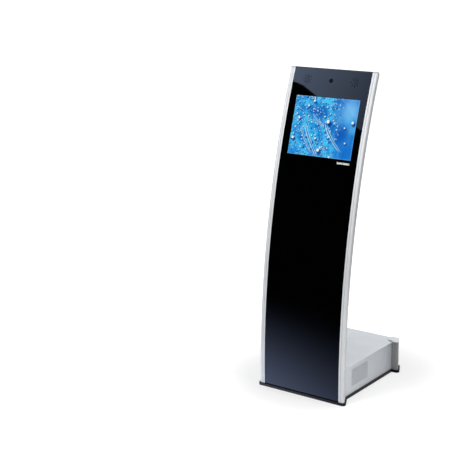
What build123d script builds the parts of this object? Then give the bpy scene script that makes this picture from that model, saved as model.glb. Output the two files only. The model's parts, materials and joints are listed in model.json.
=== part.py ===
from build123d import *
import math
import os

os.makedirs("parts", exist_ok=True)

# Free-standing touchscreen kiosk: a slim column on an arc that leans back, with a low box behind
# its foot. Millimetres, +Z up, the front faces -Y, and the origin is the middle of the underside.

# ---------------------------------------------------------------- driving dimensions
HEIGHT = 1485.0            # floor to the front top edge of the column
ARC_RADIUS = 4000.0        # front face of the column, upright at the base plate
COLUMN_DEPTH = 58.0
DEPTH = 550.0              # front face at the floor to the back of the box
GLASS_HALF = 205.7         # centre to the seam between glass and side profile
PLATE_THICK = 12.0
PLATE_OVERHANG = 7.0
BOX_HEIGHT = 150.0
SIDE_HALF = 199.5          # centre to the outer face of the box's side panels
SCREEN_ACTIVE = (337.9, 270.3)      # 17 inch, 5:4
SCREEN_HEIGHT = 1233.0     # height of the middle of the screen
EYE_HEIGHT = 1433.5        # height of the camera and the speakers
SPEAKER_X = 127.0

GLASS_THICK = 4.0
SHEET = 1.5                # box sheet metal
DOOR_SHEET = 2.5           # rear panels and doors
GAP = 0.3                  # assembly gap between separate pieces
PIVOT_GAP = 0.05           # radial running clearance of pins and shafts

# Side extrusion, measured outboard of the seam (u) and behind the front face (v)
FLANK_FRONT = 31.0
FLANK_TAIL = (2.5, 57.0)
NOSE_RADIUS = 7.0
INBOARD = 24.0
LIP = 4.2
REBATE = 2.8
WALL = 2.5
GROOVE = (9.0, 1.6, 1.2)   # place, width and depth of the decorative groove
CAP_THICK = 5.0
POST_CAP = (1.6, 4.2, 2.0)   # height of the neck, thickness of the slab, inset of the neck

# Rear doors, in a frame whose -Z points to the back
DOOR_HALF = 170.0
DOOR_GAP = 1.5
DOOR_RETURN = 10.0
HINGE_AXIS = (-171.0, -64.2)
KNUCKLE_RADIUS = 3.2
KNUCKLE_LENGTH = 10.0
PIN_RADIUS = 1.5
LEAF_THICK = 1.5
LEAF_WIDTH = 15.0
LEAF_SEAT = 0.05           # a flat leaf on the curved panel
HINGE_PITCH = 0.4          # axial gap between knuckles
TAB = (3.0, 9.2, 3.0)      # web between a leaf and its knuckle
LOCK_RADIUS = 9.0
LOCK_RING = (12.0, 2.2)    # radius and thickness of the ring outside the door
PLUG_RADIUS = 6.5
CAM = (14.0, 28.0, 2.0)
CAM_BACK = -43.7
REAR_DOOR_ANGLES = (14.6, 20.4)
REAR_LOCK_X = 150.0
BASE_DOOR_X = (-170.0, 95.0)
BASE_DOOR_Z = (24.0, 134.0)
BASE_LOCK_X = 75.0

VENT_Y = (125.0, 273.0)
VENT_Z = (45.0, 129.0)
VENT_PITCH = 6.0
VENT_HOLE = 3.6
FAN_CENTRE = (165.0, 82.0)
FAN_SIZE = 80.0
FAN_DEPTH = 25.0
FAN_SCREW_RING = 50.5

# Front details
SCREEN_WINDOW = (341.0, 273.4)
TOUCH_GLASS = (340.4, 272.8, 2.2)
TOUCH_MIDDLE = -3.6        # middle of its thickness, out of the front face
CAMERA_HOLE = 10.0
STAR_HOLE = 1.2
STAR_RING = 4.6            # radius of the ring of small sound holes
STAR_SLOT = (15.5, 2.2)
STAR_SLOT_RING = 16.5      # radius to the middle of a slot
NAMEPLATE = (68.0, 10.5, 0.8)
NAMEPLATE_PLACE = (134.7, 1086.3)

# Screws: radius of the shank, its hole and the head
SCREW = (2.0, 2.1, 4.0)
SCREW_X = 193.0
SCREW_STEP = 2.7           # degrees along the arc
SCREW_ROWS = 8
TOP_SLOT = (24.0, 4.0)     # cooling slots at the top of the rear panel
TOP_SLOT_X_PITCH = 30.0
TOP_SLOT_ANGLES = (20.75, 20.95, 21.15)

# Frame inside the column
TUBE = (362.8, 20.0, 16.0, 2.0)     # length, height, depth and wall of a crossbar
TUBE_ANGLES = (1.6, 5.7, 10.5, 13.9)
TOP_TUBE = (362.8, 16.0, 12.0, 2.0)
LOOM_ANGLES = (5.7, 10.5, 13.9)
LOOM_X = -60.0
LOOM_DEPTH = 40.0          # its middle line, behind the front face
LOOM_RADIUS = 4.0
LOOM_BEND = 45.0
LOOM_ENDS = (1.45, 17.0)

# Base: spacing and radius of the floor-anchor holes, bolts of the column's feet
ANCHORS = (300.0, 380.0)
ANCHOR_RADIUS = 6.0
FOOT_BOLTS = [(150.0, 20.0), (150.0, 40.0)]
BOLT = (4.0, 4.1)          # radius of the shank and of its hole
FLANGE_SCREW_DEPTHS = (75.0, 215.0, 345.0, 480.0)
FLANGE_SCREW_HEAD = (3.6, 2.25)     # radius and height
HOLE_DEPTH = 6.0           # depth of the screw holes in the base plate
COMPUTER_X = (-180.0, 20.0)
COMPUTER_FRONT = 215.0
COMPUTER_BACK = 415.0
COMPUTER_Z = (15.0, 77.0)
SWITCH_TILT = 12.0
MAINS_X = 137.0
INLET_HEIGHT = 52.0
SWITCH_HEIGHT = 100.0

# ---------------------------------------------------------------- derived places
FRONT_Y = -DEPTH / 2
POST_Y = FRONT_Y + DEPTH - COLUMN_DEPTH
ARC_AXIS = Axis((0, FRONT_Y + ARC_RADIUS, PLATE_THICK), (-1, 0, 0))


def angle_at(height):
    """Angle along the column's arc of a point on its front face at a height, in degrees."""
    return math.degrees(math.asin((height - PLATE_THICK) / ARC_RADIUS))


TOP_ANGLE = angle_at(HEIGHT)
CAP_ANGLE = TOP_ANGLE - math.degrees(CAP_THICK / ARC_RADIUS)
SCREEN_ANGLE = angle_at(SCREEN_HEIGHT)
EYE_ANGLE = angle_at(EYE_HEIGHT)
DOOR_ANGLE = sum(REAR_DOOR_ANGLES) / 2
BOX_ANGLE = angle_at(BOX_HEIGHT + 1.0)
LEAF_MIDDLE = -COLUMN_DEPTH - LEAF_SEAT - LEAF_THICK / 2
TAB_MIDDLE = -COLUMN_DEPTH - 1.6


def facing(x, y, z, x_dir, z_dir):
    """Frame at a point, from its X and Z axes."""
    return Plane((x, y, z), x_dir=x_dir, z_dir=z_dir).location


def on_column(angle):
    """Frame on the front face: +X to the right, +Y up along the column, +Z out of the glass."""
    rad = math.radians(angle)
    y = FRONT_Y + ARC_RADIUS * (1 - math.cos(rad))
    z = PLATE_THICK + ARC_RADIUS * math.sin(rad)
    return facing(0, y, z, (1, 0, 0), (0, -math.cos(rad), math.sin(rad)))


BASE_FRAME = facing(0, POST_Y, sum(BASE_DOOR_Z) / 2, (1, 0, 0), (0, -1, 0))
SCREEN_FRAME = on_column(SCREEN_ANGLE)
EYE_FRAME = on_column(EYE_ANGLE)
DOOR_FRAME = on_column(DOOR_ANGLE)
OUTWARD_BACK = ((-1, 0, 0), (0, 1, 0))      # X and Z axes of a frame that faces the back
INLET = facing(MAINS_X, FRONT_Y + DEPTH, INLET_HEIGHT, *OUTWARD_BACK)
SWITCH = facing(MAINS_X, FRONT_Y + DEPTH, SWITCH_HEIGHT, *OUTWARD_BACK)
FAN = facing(0, FRONT_Y + FAN_CENTRE[0], FAN_CENTRE[1], (0, 1, 0), (1, 0, 0))


def bent(section, start, end):
    """Carries a section, drawn at the foot of the column, along the arc between two angles."""
    return revolve(section.rotate(ARC_AXIS, start), axis=ARC_AXIS, revolution_arc=end - start)


def block(x, y, z):
    """A box from its low and high value on each axis."""
    size = [pair[1] - pair[0] for pair in (x, y, z)]
    centre = [(pair[0] + pair[1]) / 2 for pair in (x, y, z)]
    return Pos(*centre) * Box(*size)


def base_block(x, depth, z):
    """A box in the base, with its depth counted from the front face at the floor."""
    return block(x, (FRONT_Y + depth[0], FRONT_Y + depth[1]), z)


def rod(radius, low, high):
    """A cylinder along Z between two heights."""
    return Pos(0, 0, (low + high) / 2) * Cylinder(radius, high - low)


def foot_rect(half_width, front, back):
    """A rectangle across the column's foot, between two depths behind the front face."""
    centre = Pos(0, FRONT_Y + (front + back) / 2, PLATE_THICK)
    return centre * Rectangle(2 * half_width, back - front)


def both_sides(shape):
    """A shape and its mirror image across the middle."""
    return [shape, mirror(shape, Plane.YZ)]


def write(node, *pieces):
    """Writes the solids of one node."""
    solids = [solid for piece in pieces for solid in piece.solids()]
    shape = solids[0] if len(solids) == 1 else Compound(solids)
    export_step(shape, f"parts/{node}.step")


# ---------------------------------------------------------------- side extrusion
def teardrop():
    """Outboard outline of the extrusion, without its inboard box."""
    outline = Polygon((-INBOARD, 0), (FLANK_FRONT, 0), FLANK_TAIL, (1.2, COLUMN_DEPTH),
                      (-INBOARD, COLUMN_DEPTH), align=None)
    return fillet(outline.vertices().sort_by(Axis.X)[-1], NOSE_RADIUS)


def extrusion_section():
    """Hollow section of the right-hand extrusion, with the glass lip and the panel rebate."""
    back = COLUMN_DEPTH - REBATE
    glass_seat = Pos(-INBOARD / 2, LIP / 2) * Rectangle(INBOARD, LIP)
    panel_seat = Pos(-(INBOARD + 1) / 2, back + REBATE / 2) * Rectangle(INBOARD - 1, REBATE)
    inner = Polygon((WALL - INBOARD, LIP + WALL), (-0.8, LIP + WALL), (-0.8, back - WALL),
                    (WALL - INBOARD, back - WALL), align=None)
    nose = Polygon((2.0, 3.2), (26.3, 3.2), (4.1, 47.5), (2.0, 47.5), align=None)
    nose = fillet(nose.vertices().sort_by(Axis.X)[-1], NOSE_RADIUS - WALL)
    place, width, depth = GROOVE
    groove = Pos(place + width / 2, depth / 2) * Rectangle(width, depth)
    return teardrop() - glass_seat - panel_seat - inner - nose - groove


def placed_right(section, y):
    return Pos(GLASS_HALF, y, PLATE_THICK) * section


def column_outline():
    """Outer outline of the whole column, extrusions and the space between them."""
    middle = foot_rect(GLASS_HALF - INBOARD / 2, 0, COLUMN_DEPTH)
    right = placed_right(teardrop(), FRONT_Y)
    return middle + right + mirror(right, Plane.YZ)


def make_side_profiles():
    right = bent(placed_right(extrusion_section(), FRONT_Y), 0, CAP_ANGLE)
    for place in rear_screw_places():
        right -= place * rod(SCREW[1], -56, -50)
    write("right_side_profile", right)
    write("left_side_profile", mirror(right, Plane.YZ))


def make_rear_posts():
    section = placed_right(extrusion_section(), POST_Y)
    right = extrude(section, BOX_HEIGHT - PLATE_THICK, dir=(0, 0, 1))
    write("right_rear_post", right)
    write("left_rear_post", mirror(right, Plane.YZ))
    lobe = teardrop()
    tongue = Pos(-INBOARD / 2 - 1, 33.0) * RectangleRounded(46.0, 48.0, 11.0)
    outline = lobe - Pos(-INBOARD, 0) * Rectangle(40.0, 200.0) + tongue
    rise, thick, inset = POST_CAP
    place = Pos(GLASS_HALF, POST_Y, BOX_HEIGHT)
    slab = extrude(place * Pos(0, 0, rise) * outline, thick, dir=(0, 0, 1))
    slab = fillet(slab.faces().sort_by(Axis.Z)[-1].edges(), 1.0)
    neck = extrude(place * offset(outline, -inset, kind=Kind.INTERSECTION), rise, dir=(0, 0, 1))
    write("post_caps", *both_sides(slab + neck))


# ---------------------------------------------------------------- column skin
def star_cutter():
    """Eight sound slots round a small cluster of holes."""
    reach = 3 * GLASS_THICK
    hole = rod(STAR_HOLE, -reach, reach)
    slot = extrude(SlotOverall(*STAR_SLOT), reach, both=True)
    cutter = hole
    for step in range(6):
        cutter += Rot(0, 0, 60 * step) * Pos(STAR_RING, 0, 0) * hole
    for step in range(8):
        cutter += Rot(0, 0, 45 * step) * Pos(STAR_SLOT_RING, 0, 0) * slot
    return cutter


def make_front():
    glass = bent(foot_rect(GLASS_HALF - GAP, 0, GLASS_THICK), 0, CAP_ANGLE)
    glass -= SCREEN_FRAME * Box(*SCREEN_WINDOW, 10 * GLASS_THICK)
    glass -= EYE_FRAME * rod(CAMERA_HOLE, -12, 12)
    for side in (-1, 1):
        glass -= EYE_FRAME * Pos(side * SPEAKER_X, 0, 0) * star_cutter()
    write("front_glass", glass)
    write("touch_glass", SCREEN_FRAME * Pos(0, 0, TOUCH_MIDDLE) * Box(*TOUCH_GLASS))
    trim = bent(foot_rect(GLASS_HALF - GAP, 0, GLASS_THICK), CAP_ANGLE, TOP_ANGLE)
    write("glass_top_trim", trim)
    outline = column_outline()
    cap = bent(outline - foot_rect(GLASS_HALF, -1, GLASS_THICK + GAP), CAP_ANGLE, TOP_ANGLE)
    write("top_cap", cap)
    width, height, thick = NAMEPLATE
    plate = extrude(RectangleRounded(width, height, 1.0), thick)
    x, z = NAMEPLATE_PLACE
    write("nameplate", on_column(angle_at(z)) * Pos(x, 0, 0) * plate)
    write("camera_window", EYE_FRAME * rod(CAMERA_HOLE - 0.2, -2.8, -0.8))


def rear_screw_places():
    """Frames of the rear panel's screws on the right-hand side."""
    angles = [BOX_ANGLE + 0.3 + SCREW_STEP * row for row in range(SCREW_ROWS)]
    return [on_column(angle) * Pos(SCREW_X, 0, 0) for angle in angles]


def make_rear_panel():
    inner = COLUMN_DEPTH - DOOR_SHEET
    panel = bent(foot_rect(GLASS_HALF - 1 - GAP, inner, COLUMN_DEPTH), BOX_ANGLE, CAP_ANGLE)
    gap_angle = math.degrees(DOOR_GAP / ARC_RADIUS)
    low, high = REAR_DOOR_ANGLES
    opening = foot_rect(DOOR_HALF + DOOR_GAP, inner - 5, COLUMN_DEPTH + 5)
    panel -= bent(opening, low - gap_angle, high + gap_angle)
    slot = extrude(SlotOverall(*TOP_SLOT), 20)
    for angle in TOP_SLOT_ANGLES:
        for column in range(-4, 5):
            panel -= on_column(angle) * Pos(TOP_SLOT_X_PITCH * column, 0, -70) * slot
    shank, hole, head = SCREW
    screw = rod(head, -59.6, -58.05) + rod(shank, -58.1, -51.0)
    screws = []
    for place in rear_screw_places():
        for side in (place, mirror_x(place)):
            panel -= side * rod(hole, -60, -50)
            screws.append(side * screw)
    write("rear_panel", panel)
    write("rear_panel_screws", *screws)


def mirror_x(place):
    """The same place on the other side of the middle."""
    point = place.position
    return Location((-point.X, point.Y, point.Z), place.orientation)


# ---------------------------------------------------------------- doors, hinges, locks
def hinge_fixed(frame, leaf_frame, middle):
    """Fixed leaf with the two outer knuckles, drilled for the pin."""
    x, z = HINGE_AXIS
    pitch = KNUCKLE_LENGTH + HINGE_PITCH
    leaf = Pos(x - 1 - LEAF_WIDTH / 2, 0, LEAF_MIDDLE)
    shape = leaf_frame * leaf * Box(LEAF_WIDTH, 3 * pitch, LEAF_THICK)
    clear = frame * Pos(x, middle, z) * Rot(90, 0, 0) * Cylinder(KNUCKLE_RADIUS + 0.5, pitch)
    for side in (-1, 1):
        tab = leaf_frame * Pos(x - 1, side * pitch, TAB_MIDDLE) * Box(*TAB)
        knuckle = Pos(x, middle + side * pitch, z) * Rot(90, 0, 0)
        shape += tab + frame * knuckle * Cylinder(KNUCKLE_RADIUS, KNUCKLE_LENGTH)
    bore = frame * Pos(x, middle, z) * Rot(90, 0, 0) * Cylinder(PIN_RADIUS + 0.01, 4 * pitch)
    return shape - clear - bore


def hinge_moving(frame, leaf_frame, middle):
    """Leaf on the door with the middle knuckle, free to turn on the pin."""
    x, z = HINGE_AXIS
    pitch = KNUCKLE_LENGTH + HINGE_PITCH
    leaf = Pos(x + 1.6 + LEAF_WIDTH / 2, 0, LEAF_MIDDLE)
    shape = leaf_frame * leaf * Box(LEAF_WIDTH, 3 * pitch, LEAF_THICK)
    for side in (-1, 1):
        outer = Pos(x, middle + side * pitch, z) * Rot(90, 0, 0)
        shape -= frame * outer * Cylinder(KNUCKLE_RADIUS + 0.5, pitch)
    tab = leaf_frame * Pos(x + 1.8, 0, TAB_MIDDLE) * Box(*TAB)
    at_axis = frame * Pos(x, middle, z) * Rot(90, 0, 0)
    shape += tab + at_axis * Cylinder(KNUCKLE_RADIUS, KNUCKLE_LENGTH)
    return shape - at_axis * Cylinder(PIN_RADIUS + PIVOT_GAP, KNUCKLE_LENGTH + 1)


def hinge_pin(frame, middle):
    x, z = HINGE_AXIS
    length = 3 * (KNUCKLE_LENGTH + HINGE_PITCH)
    pin = frame * Pos(x, middle, z) * Rot(90, 0, 0) * Cylinder(PIN_RADIUS, length)
    heads = []
    for side in (-1, 1):
        end = Pos(x, middle + side * (length + 1) / 2, z) * Rot(90, 0, 0)
        heads.append(frame * end * Cylinder(PIN_RADIUS + 0.8, 1.2))
    return pin + heads[0] + heads[1]


def make_hinges(name, frame, middles, leaf_frames):
    pairs = list(zip(middles, leaf_frames))
    write(name + "_hinge_fixed", *[hinge_fixed(frame, leaf, mid) for mid, leaf in pairs])
    write(name + "_hinge_moving", *[hinge_moving(frame, leaf, mid) for mid, leaf in pairs])
    write(name + "_hinge_pins", *[hinge_pin(frame, mid) for mid in middles])


def lock_hole(frame, x):
    return frame * Pos(x, 0, 0) * rod(LOCK_RADIUS + 0.1, -70, -50)


def make_lock(name, frame, x, door_edge):
    """Cam lock: threaded barrel with nut on the door, turning plug with cam, fixed strike."""
    surface = -COLUMN_DEPTH
    radius, proud = LOCK_RING
    barrel = rod(LOCK_RADIUS, surface - proud, CAM_BACK - 0.3)
    barrel += rod(radius, surface - proud, surface - 0.03)
    nut = extrude(RegularPolygon(13.5, 6), 3)
    barrel += Pos(0, 0, surface + DOOR_SHEET) * nut
    barrel -= rod(PLUG_RADIUS + PIVOT_GAP, surface - 3, CAM_BACK)
    write(name + "_lock_body", frame * Pos(x, 0, 0) * barrel)
    width, reach, thick = CAM
    plug = rod(PLUG_RADIUS, surface - 2.6, CAM_BACK + thick)
    plug += block((-width / 2, width / 2), (-reach, width / 2), (CAM_BACK, CAM_BACK + thick))
    plug -= Pos(0, 0, surface - 2.6) * Box(1.4, 8.0, 5.0)
    write(name + "_lock_cam", frame * Pos(x, 0, 0) * plug)
    edge = door_edge + DOOR_GAP + 1.0
    plate = block((edge, edge + 9.0), (-13, 13), (CAM_BACK - 2.5, CAM_BACK - 0.5))
    foot = surface + DOOR_SHEET + 0.05
    web = block((edge + 7.0, edge + 9.0), (-13, 13), (foot, CAM_BACK - 2.5))
    write(name + "_lock_strike", frame * (plate + web))


def make_rear_door():
    low, high = REAR_DOOR_ANGLES
    inner = COLUMN_DEPTH - DOOR_SHEET
    section = foot_rect(DOOR_HALF, inner, COLUMN_DEPTH)
    for side in (-1, 1):
        fold = foot_rect(SHEET / 2, inner - DOOR_RETURN, inner + 0.5)
        section += Pos(side * (DOOR_HALF - SHEET / 2), 0, 0) * fold
    door = bent(section, low, high) - lock_hole(DOOR_FRAME, REAR_LOCK_X)
    write("rear_door", door)
    offset = 130.0
    turn = math.degrees(offset / (ARC_RADIUS - COLUMN_DEPTH))
    leaves = [on_column(DOOR_ANGLE + side * turn) for side in (-1, 1)]
    make_hinges("rear", DOOR_FRAME, (-offset, offset), leaves)
    make_lock("rear", DOOR_FRAME, REAR_LOCK_X, DOOR_HALF)


def make_base_door():
    low, high = BASE_DOOR_X
    half = (BASE_DOOR_Z[1] - BASE_DOOR_Z[0]) / 2
    inner = DOOR_SHEET - COLUMN_DEPTH
    door = block((low, high), (-half, half), (-COLUMN_DEPTH, inner))
    for edge in (low, high - SHEET):
        door += block((edge, edge + SHEET), (-half, half), (inner - 0.5, inner + DOOR_RETURN))
    write("base_door", BASE_FRAME * door - lock_hole(BASE_FRAME, BASE_LOCK_X))
    offset = 30.0
    axis_lift = 2.0
    frame = BASE_FRAME * Pos(0, 0, axis_lift)
    leaves = [BASE_FRAME * Pos(0, side * offset, 0) for side in (-1, 1)]
    make_hinges("base", frame, (-offset, offset), leaves)
    make_lock("base", BASE_FRAME, BASE_LOCK_X, high)


# ---------------------------------------------------------------- inside the column
def square_tube(length, height, depth, wall):
    return Box(length, height, depth) - Box(length + 8, height - 2 * wall, depth - 2 * wall)


def make_crossbars():
    bars = [on_column(angle) * Pos(0, 0, -20) * square_tube(*TUBE) for angle in TUBE_ANGLES]
    bars.append(EYE_FRAME * Pos(0, 0, -41) * square_tube(*TOP_TUBE))
    write("column_crossbars", *bars)


def make_display():
    wide, tall = SCREEN_ACTIVE
    body = Pos(0, 0, -15.75) * Box(358.5, 296.5, 16.5)
    body = fillet(body.edges().filter_by(Axis.Z), 2.0)
    active = Pos(0, 0, -6.2) * Box(wide, tall, 2.6)
    write("lcd_module", SCREEN_FRAME * (body + active))
    ring = Pos(0, 0, -5.65) * (Box(357, 295, 3.5) - Box(343, 275.4, 5))
    glass = foot_rect(GLASS_HALF, -5, GLASS_THICK + 0.05)
    write("screen_gasket", SCREEN_FRAME * ring - bent(glass, SCREEN_ANGLE - 3, SCREEN_ANGLE + 3))
    brackets = []
    for side in (-1, 1):
        bar = Pos(0, side * 100, -25.45) * Box(362.8, 25, 2.5)
        for end in (-1, 1):
            bar += Pos(end * 180.4, side * 100, -32) * Box(2, 25, 13)
        brackets.append(SCREEN_FRAME * bar)
    write("lcd_brackets", *brackets)
    board = block((-110, 10), (-48, 40), (-31.6, -30))
    for x in (-104, 4):
        for y in (-42, 34):
            board += Pos(x, y, 0) * rod(3, -30.2, -24.05)
    board += block((-75, -45), (-48, -30), (-45, -31.5))
    board += block((-95, -60), (-5, 25), (-34.5, -31.5))
    board += block((-40, -22), (-10, 8), (-34, -31.5))
    board += Pos(-12, 20, 0) * rod(5, -44, -31.5)
    write("driver_board", SCREEN_FRAME * board)


def make_speakers():
    frames, cones, grilles = [], [], []
    basket = Polyline((27, -5.4), (33, -5.4), (33, -7.4), (29, -8.4), (20, -19), (19, -19),
                      (19, -30), (0, -30), (0, -22), (17, -20.5), (26, -9.2), (27, -7.4),
                      close=True)
    cone = Polyline((26.5, -7.6), (25, -7.6), (10, -15.5), (7, -13.5), (0, -12.5), (0, -13.5),
                    (7, -14.5), (10, -17), (26, -8.8), close=True)
    for side in (-1, 1):
        place = EYE_FRAME * Pos(side * SPEAKER_X, 0, 0)
        frames.append(place * turned(basket))
        cones.append(place * turned(cone))
        grilles.append(place * rod(30, -5.1, -4.3))
    write("speaker_frames", *frames)
    write("speaker_cones", *cones)
    write("speaker_grilles", *grilles)


def turned(outline):
    """A solid of revolution about Z from an outline of (radius, height) points."""
    face = make_face(Plane.XZ * outline)
    return revolve(face, axis=Axis.Z)


def make_webcam():
    body = Pos(0, 0, -14) * Box(74, 24, 14)
    body = fillet(body.edges().filter_by(Axis.Z), 6.0)
    write("webcam_body", EYE_FRAME * body)
    lens = rod(8.0, -7, -4.6) + rod(5.5, -4.7, -3.4) - rod(4.0, -3.9, -3.0)
    write("webcam_lens", EYE_FRAME * lens)
    bracket = block((-30, 30), (-10, 10), (-22.6, -21.05))
    for side in (-1, 1):
        bracket += block((side * 22 - 3, side * 22 + 3), (-7, 7), (-34.95, -22.5))
    write("webcam_bracket", EYE_FRAME * bracket)


def make_loom():
    """Cable loom from the display's board down the column to the computer."""
    low, top = LOOM_ENDS
    arc_radius = ARC_RADIUS - LOOM_DEPTH
    section = Circle(LOOM_RADIUS)
    run = bent(Pos(LOOM_X, FRONT_Y + LOOM_DEPTH, PLATE_THICK) * section, low, top)
    foot = math.radians(low)
    y = FRONT_Y + ARC_RADIUS - arc_radius * math.cos(foot)
    z = PLATE_THICK + arc_radius * math.sin(foot)
    end = facing(LOOM_X, y, z, (1, 0, 0), (0, -math.sin(foot), -math.cos(foot)))
    pivot_y = y + LOOM_BEND * math.cos(foot)
    pivot_z = z - LOOM_BEND * math.sin(foot)
    pivot = Axis((0, pivot_y, pivot_z), (1, 0, 0))
    turn = revolve(end * section, axis=pivot, revolution_arc=90 + low)
    line = facing(LOOM_X, pivot_y, pivot_z - LOOM_BEND, (1, 0, 0), (0, 1, 0))
    tail = extrude(line * section, FRONT_Y + COMPUTER_FRONT - pivot_y - 0.1)
    write("cable_loom", run + turn + tail)
    clip = block((LOOM_X - 7, LOOM_X + 7), (-5, 5), (-47, -28.1))
    clip -= Pos(LOOM_X, 0, -LOOM_DEPTH) * Rot(90, 0, 0) * rod(LOOM_RADIUS + 0.1, -8, 8)
    write("cable_clips", *[on_column(angle) * clip for angle in LOOM_ANGLES])


# ---------------------------------------------------------------- base
def make_base_plate():
    front = offset(column_outline(), PLATE_OVERHANG, kind=Kind.ARC)
    back = Pos(0, DEPTH - COLUMN_DEPTH, 0) * front
    middle = Pos(0, 0, PLATE_THICK) * Rectangle(2 * SIDE_HALF + 2 * PLATE_OVERHANG, DEPTH - 60)
    plate = extrude(front + back + middle, PLATE_THICK, dir=(0, 0, -1))
    for x in (-1, 1):
        for y in (-1, 1):
            plate -= Pos(x * ANCHORS[0] / 2, y * ANCHORS[1] / 2, 0) * rod(ANCHOR_RADIUS, -1, 20)
    for x, depth in FOOT_BOLTS:
        for hole in both_sides(Pos(x, FRONT_Y + depth, 0) * rod(BOLT[1], 2, 2 * PLATE_THICK)):
            plate -= hole
    for place in base_screw_places():
        plate -= place * rod(SCREW[1], PLATE_THICK - HOLE_DEPTH, 2 * PLATE_THICK)
    write("base_plate", plate)


def make_feet():
    inner = GLASS_HALF - INBOARD - GAP
    leaf = 6.0
    foot = base_block((130, inner), (9, 50), (PLATE_THICK, PLATE_THICK + leaf))
    foot += base_block((inner - leaf, inner), (9, 50), (PLATE_THICK, 105))
    foot += base_block((inner - 30, inner), (46, 50), (PLATE_THICK, 70))
    head = extrude(RegularPolygon(6.5, 6), 5.3)
    bolt = Pos(0, 0, PLATE_THICK + leaf + 0.05) * head + rod(BOLT[0], 2.2, PLATE_THICK + leaf + 1)
    bolts = []
    for x, depth in FOOT_BOLTS:
        foot -= Pos(x, FRONT_Y + depth, 0) * rod(BOLT[1], 5, 20)
        bolts += both_sides(Pos(x, FRONT_Y + depth, 0) * bolt)
    write("column_feet", *both_sides(foot))
    write("foot_bolts", *bolts)


def base_screw_places():
    """Places of the screws that hold the side panels' flanges to the plate."""
    places = []
    for side in (-1, 1):
        for depth in FLANGE_SCREW_DEPTHS:
            places.append(Pos(side * (SIDE_HALF - 8), FRONT_Y + depth, 0))
    return places


def make_side_panels():
    low, high = SIDE_HALF - SHEET, SIDE_HALF
    ends = (COLUMN_DEPTH, DEPTH - COLUMN_DEPTH + LIP - GAP)
    panel = base_block((low, high), ends, (PLATE_THICK, BOX_HEIGHT - SHEET - 0.2))
    panel += base_block((low - 12, low + 0.5), ends, (PLATE_THICK, PLATE_THICK + SHEET))
    columns = int((VENT_Y[1] - VENT_Y[0]) / VENT_PITCH)
    rows = int((VENT_Z[1] - VENT_Z[0]) / VENT_PITCH)
    holes = []
    for column in range(columns):
        for row in range(rows):
            depth = VENT_Y[0] + VENT_PITCH * (column + 0.5)
            height = VENT_Z[0] + VENT_PITCH * (row + 0.5)
            holes.append(Pos(high, FRONT_Y + depth, height) * Box(10, VENT_HOLE, VENT_HOLE))
    panel = panel - holes
    for place in base_screw_places()[len(FLANGE_SCREW_DEPTHS):]:
        panel -= place * rod(SCREW[1], 5, 2 * PLATE_THICK)
    write("right_side_panel", panel)
    write("left_side_panel", mirror(panel, Plane.YZ))
    radius, tall = FLANGE_SCREW_HEAD
    seat = PLATE_THICK + SHEET + 0.05
    screw = rod(radius, seat, seat + tall) + rod(SCREW[0], PLATE_THICK - HOLE_DEPTH + 0.2, seat + 0.5)
    write("base_screws", *[place * screw for place in base_screw_places()])


def make_base_covers():
    edge = SIDE_HALF + 0.2
    column_back = 61.0
    notch = DEPTH - COLUMN_DEPTH + LIP - GAP
    inner = GLASS_HALF - INBOARD - GAP
    top = (BOX_HEIGHT - SHEET, BOX_HEIGHT)
    cover = base_block((-edge - SHEET, edge + SHEET), (column_back, notch), top)
    for side in (-1, 1):
        x = sorted((side * edge, side * (edge + SHEET)))
        cover += base_block(x, (column_back, notch), (BOX_HEIGHT - 8, BOX_HEIGHT - 1))
    cover += base_block((-inner, inner), (notch - 1, DEPTH), top)
    outer = cover.edges().filter_by(Axis.Y).group_by(Axis.Z)[-1]
    long_edges = [e for e in outer if e.length > 300]
    cover = fillet(long_edges, 1.2)
    write("base_top_cover", cover)
    half = GLASS_HALF - 1 - GAP
    back = (DEPTH - DOOR_SHEET, DEPTH)
    panel = base_block((-half, half), back, (PLATE_THICK, BOX_HEIGHT - SHEET - 0.2))
    x = (BASE_DOOR_X[0] - DOOR_GAP, BASE_DOOR_X[1] + DOOR_GAP)
    z = (BASE_DOOR_Z[0] - DOOR_GAP, BASE_DOOR_Z[1] + DOOR_GAP)
    panel -= base_block(x, (DEPTH - 10, DEPTH + 10), z)
    panel -= INLET * Box(28.6, 22.6, 30)
    panel -= SWITCH * Box(20.6, 26.6, 30)
    write("base_rear_panel", panel)


# ---------------------------------------------------------------- inside the base
def make_computer():
    low, high = COMPUTER_X
    bottom, top = COMPUTER_Z
    case = base_block(COMPUTER_X, (COMPUTER_FRONT, COMPUTER_BACK), COMPUTER_Z)
    case = fillet(case.edges().filter_by(Axis.Z), 3.0)
    for x in (low + 15, high - 15):
        for depth in (COMPUTER_FRONT + 15, COMPUTER_BACK - 15):
            case += Pos(x, FRONT_Y + depth, 0) * rod(6, PLATE_THICK, bottom + 0.2)
    for step in range(18):
        x = low + 10 * (step + 1)
        fin = (COMPUTER_FRONT + 12, COMPUTER_BACK - 12)
        case += base_block((x, x + 4), fin, (top - 3, top + 5))
    button = facing(high - 40, FRONT_Y + COMPUTER_BACK, 50, *OUTWARD_BACK)
    case -= button * rod(5.4, -6, 1)
    write("computer_case", case)
    cap = fillet(rod(5.0, -3, 3).edges().group_by(Axis.Z)[-1], 0.8)
    write("power_button", button * cap)


def make_power_supply():
    supply = base_block((60, 130), (300, 430), (PLATE_THICK, 50))
    supply = fillet(supply.edges().filter_by(Axis.Y), 3.0)
    write("power_supply", supply)


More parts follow.
